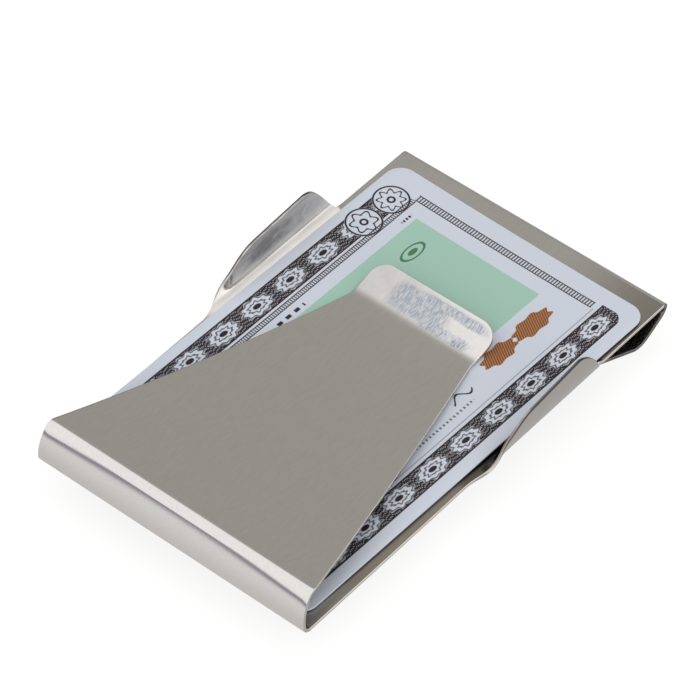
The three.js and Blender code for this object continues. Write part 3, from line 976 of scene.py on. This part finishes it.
FLAG_SIDE, CORNER_SIDE = (-0.44, 0.80, 0.42), (-0.85, 0.45, 0.05)
FRONT_SIDE, LINE_SIDE = (-0.46, -0.89, 0.0), (-0.43, -0.90, 0.0)
WHITE_TINT, WARM_TINT, FLAG_TINT = (1, 0.995, 0.985), (1, 0.985, 0.96), (1, 0.985, 0.95)
LINE_LIGHT, CORNER_LIGHT = (0.26, 0.225, 0.29), (0.16, 0.15, 0.135)


def soft_studio(scene):
    """World light: a soft white dome, a round grey flag behind on the left, a dim line along the
    horizon in front, a dark corner on the left, and below the horizon light that is pale in front
    and grey behind."""
    stage = scene.clip_stage
    scene.world = bpy.data.worlds.new("soft_studio")
    w = Wiring(scene.world)
    towards = w.node("ShaderNodeTexCoord").outputs["Generated"]
    z = w.node("ShaderNodeSeparateXYZ", {0: towards}).outputs[2]

    def along(side):
        """Cosine of the angle from a side."""
        return w.node("ShaderNodeVectorMath", {0: towards, 1: tuple(Vector(side).normalized())},
                      operation="DOT_PRODUCT").outputs["Value"]

    def round_patch(side, none, full):
        """1 within full degrees of a side, 0 from none on."""
        return w.step(along(side), math.cos(math.radians(none)), math.cos(math.radians(full)))

    front = w.mix(w.step(z, -0.80, -0.10), shaded(WARM_TINT, 0.80 * stage.low_light),
                  shaded(WHITE_TINT, stage.low_light))
    low = w.mix(w.step(along(FRONT_SIDE), -0.35, 0.65), shaded(WARM_TINT, stage.low_shade), front)
    high = w.mix(round_patch(FLAG_SIDE, none=38, full=25), shaded(WHITE_TINT, stage.dome_light),
                 shaded(FLAG_TINT, stage.flag_light))
    light = w.mix(w.step(z, -0.16, 0.02), low, high)
    line = w.times(w.step(z, 0.105, 0.080), w.step(z, -0.14, 0.06),
                   w.step(along(LINE_SIDE), 0.0, 0.4))
    light = w.mix(line, light, LINE_LIGHT)
    light = w.mix(round_patch(CORNER_SIDE, none=34, full=22), light, CORNER_LIGHT)
    seen = w.node("ShaderNodeLightPath").outputs["Is Camera Ray"]
    light = w.mix(seen, light, (1.0, 1.0, 1.0))
    shader = w.node("ShaderNodeBackground", {"Color": light, "Strength": 1.0})
    w.node("ShaderNodeOutputWorld", {"Surface": shader.outputs[0]})


# ------------------------------------------------------------------ operators

# Each fold's side and two heights; the folds are baked in place and the heights are not read.
FOLD_BENDS = (("front", 8.5 * MM, 14.1 * MM), ("rear", 6.4 * MM, 0.7 * MM))
SENSOR_WIDTH, CLIP_NEAR, CLIP_FAR = 36.0, 0.01, 50.0


class CLIP_OT_add_plate(bpy.types.Operator):
    """Add the two end folds"""
    bl_idname = "clip.add_plate"
    bl_label = "Plate and wings"

    def execute(self, context):
        piece = make_plate(context.scene)
        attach(piece, "clip_body")
        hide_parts("center_plate", "right_wing", "left_wing")
        return {"FINISHED"}


class CLIP_OT_add_folds(bpy.types.Operator):
    """Add the two end folds, which bend as their tongues lift"""
    bl_idname = "clip.add_folds"
    bl_label = "End folds"

    def execute(self, context):
        for side, low, high in FOLD_BENDS:
            piece = make_fold(context.scene, side)
            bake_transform(piece)
            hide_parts(f"{side}_fold")
        return {"FINISHED"}


class CLIP_OT_add_tongues(bpy.types.Operator):
    """Add the two spring tongues with their lips"""
    bl_idname = "clip.add_tongues"
    bl_label = "Tongues and lips"

    def execute(self, context):
        for side in ("front", "rear"):
            piece = make_tongue(context.scene, side)
            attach(piece, f"{side}_arm")
            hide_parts(f"{side}_tongue", f"{side}_lip")
        return {"FINISHED"}


class CLIP_OT_add_card(bpy.types.Operator):
    """Add the printed card"""
    bl_idname = "clip.add_card"
    bl_label = "Printed card"

    def execute(self, context):
        piece = make_card(context.scene)
        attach(piece, "card")
        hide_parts("display_card")
        return {"FINISHED"}


class CLIP_OT_add_stage(bpy.types.Operator):
    """Add the floor, the light and the camera"""
    bl_idname = "clip.add_stage"
    bl_label = "Stage"

    def execute(self, context):
        scene = context.scene
        stage = scene.clip_stage
        side = stage.floor_size / 2
        mesh = bpy.data.meshes.new("floor")
        mesh.from_pydata([(-side, -side, 0), (side, -side, 0), (side, side, 0), (-side, side, 0)],
                         [], [(0, 1, 2, 3)])
        floor = bpy.data.objects.new("floor", mesh)
        scene.collection.objects.link(floor)
        mesh.materials.append(pale_floor(scene))
        floor.visible_glossy = False
        soft_studio(scene)
        lens = bpy.data.cameras.new("camera")
        lens.lens, lens.sensor_width = stage.lens, SENSOR_WIDTH
        lens.clip_start, lens.clip_end = CLIP_NEAR, CLIP_FAR
        camera = bpy.data.objects.new("camera", lens)
        scene.collection.objects.link(camera)
        camera.location = stage.camera
        look = Vector(stage.aim) - Vector(stage.camera)
        camera.rotation_mode = "QUATERNION"
        camera.rotation_quaternion = look.to_track_quat("-Z", "Y")
        scene.camera = camera
        scene.view_settings.view_transform = "Standard"
        return {"FINISHED"}


class CLIP_PT_panel(bpy.types.Panel):
    """Lists the clip's pieces and the values that shape them."""
    bl_idname = "CLIP_PT_panel"
    bl_label = "Money Clip"
    bl_space_type = "VIEW_3D"
    bl_region_type = "UI"
    bl_category = "Money Clip"

    def draw(self, context):
        layout, scene = self.layout, context.scene
        for operator in OPERATORS:
            layout.operator(operator.bl_idname)
        for key, group in GROUPS.items():
            box = layout.box()
            box.label(text=key.replace("_", " "))
            for name in group.__annotations__:
                box.prop(getattr(scene, key), name)


GROUPS = {
    "clip_sheet": ClipSheet,
    "clip_front_fold": ClipFold,
    "clip_rear_fold": ClipFold,
    "clip_wing": ClipWing,
    "clip_card": ClipCard,
    "clip_steel": ClipSteel,
    "clip_stage": ClipStage,
}
OPERATORS = (CLIP_OT_add_stage, CLIP_OT_add_plate, CLIP_OT_add_folds, CLIP_OT_add_tongues,
             CLIP_OT_add_card)


def register():
    for group in dict.fromkeys(GROUPS.values()):
        bpy.utils.register_class(group)
    for operator in OPERATORS:
        bpy.utils.register_class(operator)
    bpy.utils.register_class(CLIP_PT_panel)
    for key, group in GROUPS.items():
        setattr(bpy.types.Scene, key, PointerProperty(type=group))


def unregister():
    for key in GROUPS:
        delattr(bpy.types.Scene, key)
    bpy.utils.unregister_class(CLIP_PT_panel)
    for operator in reversed(OPERATORS):
        bpy.utils.unregister_class(operator)
    for group in reversed(list(dict.fromkeys(GROUPS.values()))):
        bpy.utils.unregister_class(group)


def set_rear_fold(fold):
    """The rear fold is lower and leans further than the front one."""
    fold.height = 6.9 * MM
    fold.bend_radius = 1.2 * MM
    fold.ease_radius = 3.5 * MM
    fold.corner_radius = 3.5 * MM
    fold.lean = math.radians(45)
    fold.belly = fold.end_belly = math.radians(2)
    fold.inset = 1.3 * MM


def main():
    register()
    set_rear_fold(bpy.context.scene.clip_rear_fold)
    bpy.ops.clip.add_stage()
    bpy.ops.clip.add_plate()
    bpy.ops.clip.add_folds()
    bpy.ops.clip.add_tongues()
    bpy.ops.clip.add_card()


if __name__ == "__main__":
    main()
